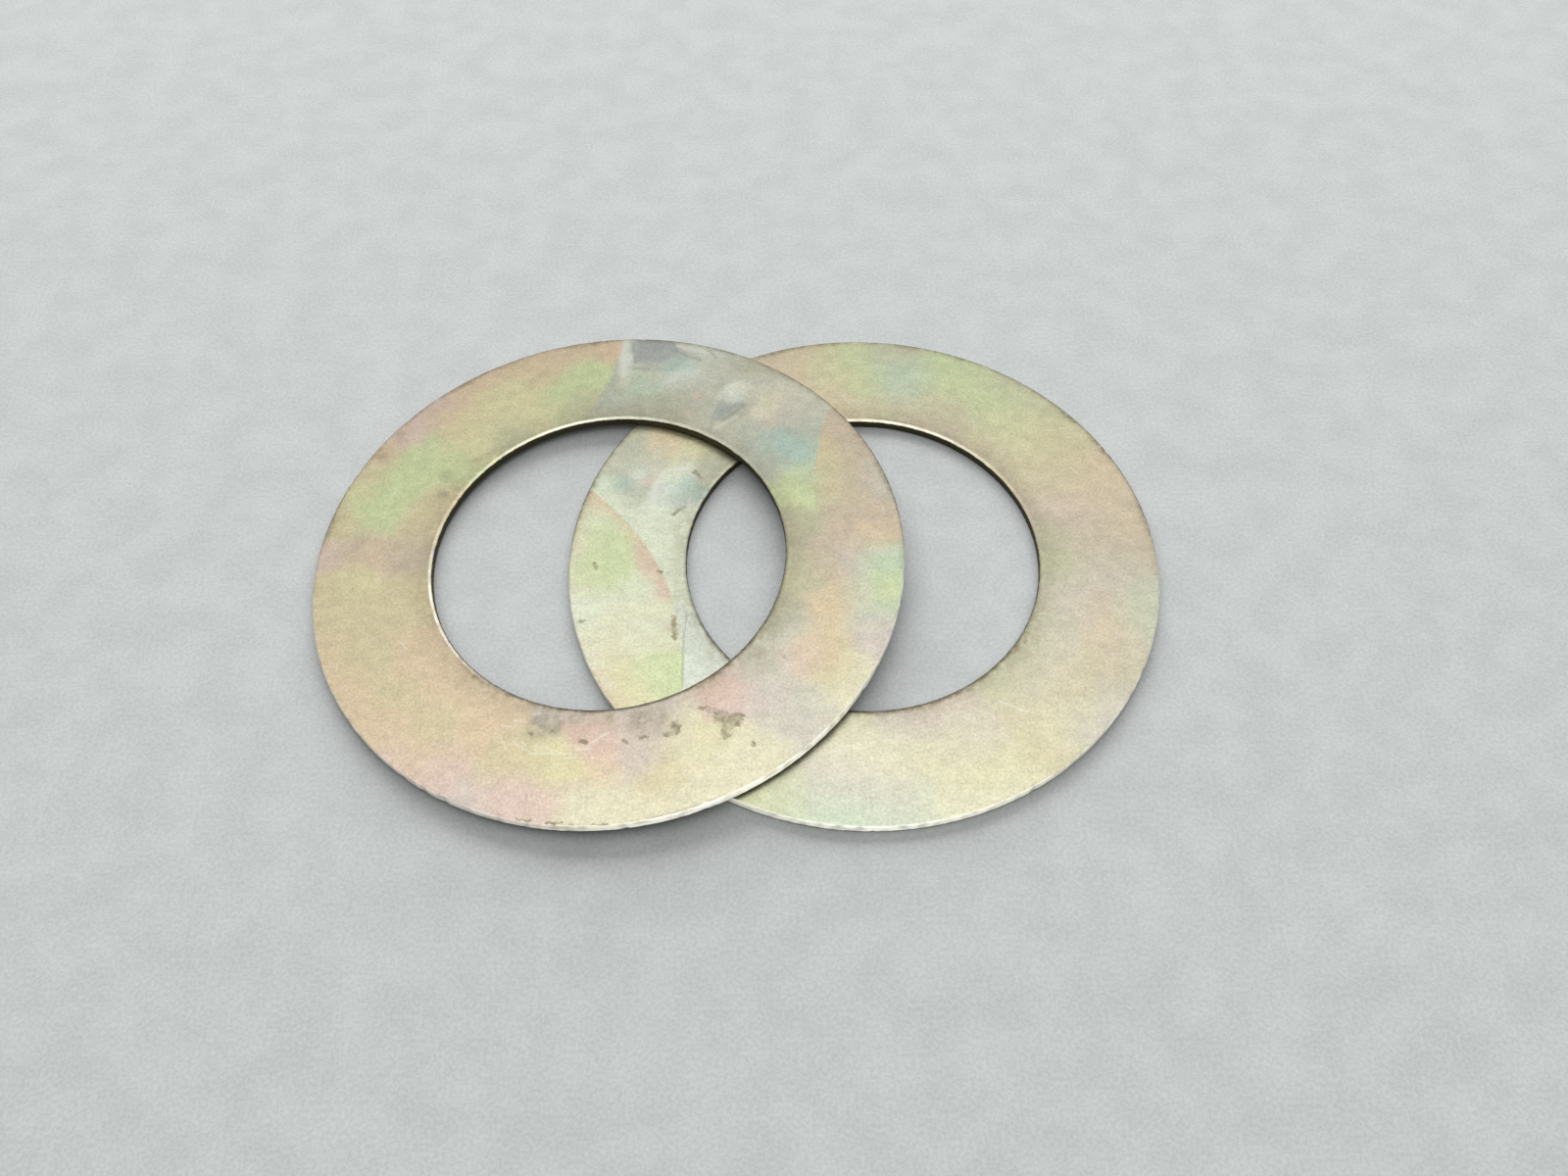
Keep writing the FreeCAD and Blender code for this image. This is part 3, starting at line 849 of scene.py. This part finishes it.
# %% [markdown]
# ## The plated steel
# Zinc under a thin chromate still reflects as a metal does, so the surface is fully metallic and the tint is
# its colour. Tumbling leaves it satin. The rolled and sheared edge has lost its colour and has a white bloom
# of zinc, which isn't metallic, and that white is also a painted highlight on the near rim and the bore's
# edge.
# The torn wall is dark and matt, partly as painted shade. Fine pits and a slow swell in the sheet are too
# shallow for the mesh, so they are a bump, a few hundredths of a millimetre deep at most.

# %% Mix the plating
# White bloom of zinc on the pale edges, also used as a painted highlight.
BARE_AND_HIGHLIGHT = (*screen(232, 231, 220), 1)
# Dark torn steel, also used as painted shade on the bore wall and at the foot of the rim.
TORN_AND_SHADED = (*screen(84, 80, 62), 1)
BUMP_DEEP = 0.006


def plated_steel(name, light_lines, dark_lines, dirt_and_shade_lines):
    """The finish of one washer."""
    material = bpy.data.materials.new(name)
    material.use_nodes = True
    wires = Wiring(material.node_tree)
    place = wires.scale(wires.add("ShaderNodeTexCoord", out="Object"), 1 / MM)
    flat = wires.vector("MULTIPLY", place, (1, 1, 0))
    # The pale edges: bare metal with a painted highlight.
    pale_edge = wires.kept("bare_and_highlight")
    # The dark walls: torn steel with painted shade.
    torn_and_shaded = wires.kept("torn_and_shaded")

    tint = wires.blend(tumbling_hairs(wires, flat), film_colour(wires, flat), PALE_MARK)
    tint = scratches_and_dent_light(wires, flat, tint, light_lines, dark_lines)
    tint = soiled_and_shaded(wires, flat, tint, dirt_and_shade_lines)
    tint = wires.blend(torn_and_shaded, wires.blend(pale_edge, tint, BARE_AND_HIGHLIGHT), TORN_AND_SHADED)

    rough = wires.step(wires.noise(flat, 2.5, 4.0, 0.6), 0.3, 0.7, 0.36, 0.44)
    rough = wires.math("MULTIPLY_ADD", pale_edge, -0.10, rough)
    rough = wires.math("MULTIPLY_ADD", torn_and_shaded, 0.25, rough, clamp=True)
    relief = wires.math("MULTIPLY_ADD", wires.noise(flat, 0.6, 2.0), 6.0, wires.noise(place, 9.0, 4.0, 0.6))
    normal = wires.add("ShaderNodeBump", inputs={
        "Height": relief, "Strength": 1.0, "Distance": BUMP_DEEP * MM})

    shader = material.node_tree.nodes["Principled BSDF"].inputs
    wires.feed(shader["Base Color"], tint)
    wires.feed(shader["Metallic"], wires.math("MULTIPLY_ADD", pale_edge, -0.75, 1.0))
    wires.feed(shader["Roughness"], rough)
    wires.feed(shader["Normal"], normal)
    return material


upper.data.materials.append(plated_steel("plated_steel_upper", UPPER_SCRATCHES_AND_HIGHLIGHTS, UPPER_CREASES_AND_SHADE, UPPER_DIRT))
lower.data.materials.append(plated_steel("plated_steel_lower", LOWER_SCRATCHES_AND_HIGHLIGHTS, LOWER_DARK, LOWER_DIRT_AND_SHADE))
print("finishes:", [washer.data.materials[0].name for washer in (upper, lower)])

# %% [markdown]
# ## Taking the solids' place
# Each finished washer takes the place of its bare solid and rides on the same body, so that it moves when
# that body moves.

# %% Put the washers on their bodies
for washer, body in ((upper, "upper_washer"), (lower, "lower_washer")):
    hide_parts(body)
    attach(washer, body)
    lowest = min((washer.matrix_world @ point.co).z for point in washer.data.vertices)
    print(body, "lowest point", round(lowest / MM, 4), "mm")

# %% [markdown]
# ## The sheet of paper
# A plain matt floor catches the soft shadows, which are what shows that one washer touches down on the left
# and hangs in the air on the right. Two noises, one as fine as fibres and one a few millimetres broad, keep
# it from looking like nothing at all.

# %% Lay the floor
FLOOR_HALF = 1.5  # metres
PAPER_DARK = (0.262, 0.274, 0.271, 1)
PAPER_LIGHT = (0.330, 0.343, 0.340, 1)
floor_mesh = bpy.data.meshes.new("paper")
floor_mesh.from_pydata([(-FLOOR_HALF, -FLOOR_HALF, 0), (FLOOR_HALF, -FLOOR_HALF, 0),
                        (FLOOR_HALF, FLOOR_HALF, 0), (-FLOOR_HALF, FLOOR_HALF, 0)], [], [(0, 1, 2, 3)])
floor = bpy.data.objects.new("paper", floor_mesh)
bpy.context.scene.collection.objects.link(floor)
paper = bpy.data.materials.new("paper")
paper.use_nodes = True
paper_shader = paper.node_tree.nodes["Principled BSDF"].inputs
fibres = Wiring(paper.node_tree)
where = fibres.add("ShaderNodeTexCoord", out="Object")
fine_fibres = fibres.step(fibres.noise(where, 3500, 4.0, 0.7), 0.35, 0.65)
broad_fibres = fibres.step(fibres.noise(where, 250, 3.0, 0.6), 0.3, 0.7)
mottle = fibres.math("MULTIPLY_ADD", broad_fibres, 0.35, fibres.math("MULTIPLY", fine_fibres, 0.65))
fibres.feed(paper_shader["Base Color"], fibres.blend(mottle, PAPER_DARK, PAPER_LIGHT))
paper_shader["Roughness"].default_value = 0.9
paper_shader["Specular IOR Level"].default_value = 0.1
floor_mesh.materials.append(paper)
print("the paper is", 2 * FLOOR_HALF, "m across")

# %% [markdown]
# ## The light tent
# A satin metal shows whatever glows above it, so the sky of the scene does most of the work. A light tent
# glows all round, darkest at the sides and brightest straight above, and a little more from behind. That
# gives the flat faces an even sheen and the rolled edges a bright line.

# %% Set the light tent
SIDES = 0.22
TOP = 1.95
BEHIND = 0.12
world = bpy.data.worlds.new("light_tent")
world.use_nodes = True
bpy.context.scene.world = world
sky = Wiring(world.node_tree)
towards = sky.add("ShaderNodeTexCoord", out="Generated")
lift = sky.math("MAXIMUM", sky.vector("DOT_PRODUCT", towards, (0, 0, 1), out="Value"), 0.0)
dome = sky.math("MULTIPLY_ADD", sky.math("POWER", lift, 3.0), TOP, SIDES)
back = sky.vector("DOT_PRODUCT", towards, (0, BEHIND, 0), out="Value")
background = world.node_tree.nodes["Background"].inputs
background["Color"].default_value = (1.0, 1.0, 1.0, 1)
sky.feed(background["Strength"], sky.math("MULTIPLY", dome, sky.math("ADD", back, 1.0)))
print("the tent glows from", SIDES, "at the sides to", SIDES + TOP, "at the top")

# %% [markdown]
# ## Two panels
# A wide window behind adds the soft shadows that fall forward. A low panel in front whitens the near walls,
# and it lights the washers only, because on the paper it would wash out those shadows. Both are hidden from
# reflections, as a flag would hide them in a studio, so that neither draws a hard line along an edge.

# %% Set the panels
def soft_panel(name, place, wide, high, watts):
    """A lit panel that faces the washers and isn't seen in reflections."""
    lamp = bpy.data.lights.new(name, "AREA")
    lamp.shape = "RECTANGLE"
    lamp.size = wide
    lamp.size_y = high
    lamp.energy = watts
    panel = bpy.data.objects.new(name, lamp)
    bpy.context.scene.collection.objects.link(panel)
    panel.location = place
    panel.rotation_euler = (-panel.location).to_track_quat("-Z", "Y").to_euler()
    panel.visible_glossy = False
    print(name, "gives", watts, "W")
    return panel


soft_panel("window", (0, 0.95, 0.38), 1.6, 0.8, 40)
front_fill = soft_panel("front_fill", (0.3, -1.0, 0.2), 1.2, 0.3, 14)
only_washers = bpy.data.collections.new("only_washers")
for washer in (upper, lower):
    only_washers.objects.link(washer)
front_fill.light_linking.receiver_collection = only_washers

# %% [markdown]
# ## The camera
# It looks down at the pair from the front, close enough that the near rims are clearly larger than the far.
# Its axes are worked out from two angles, how far it looks down and how far it is rolled, because they are
# easier to judge than a rotation.

# %% Place the camera
DOWN = math.radians(56.06)
ROLL = math.radians(-0.79)
EYE = Vector((4.03, -67.36, 96.1)) * MM
ahead = Vector((0, math.cos(DOWN), -math.sin(DOWN)))
right = Vector((1, 0, 0))
above = Vector((0, math.sin(DOWN), math.cos(DOWN)))
rolled_right = right * math.cos(ROLL) + above * math.sin(ROLL)
rolled_above = above * math.cos(ROLL) - right * math.sin(ROLL)
lens = bpy.data.cameras.new("camera")
lens.lens = 31.43
lens.sensor_width = 36.0
lens.clip_start = 0.005
camera = bpy.data.objects.new("camera", lens)
bpy.context.scene.collection.objects.link(camera)
facing = Matrix((rolled_right, rolled_above, -ahead)).transposed().to_4x4()
camera.matrix_world = Matrix.Translation(EYE) @ facing
bpy.context.scene.camera = camera
bpy.context.scene.view_settings.view_transform = "Standard"
print("camera at", [round(v / MM, 1) for v in EYE], "mm")
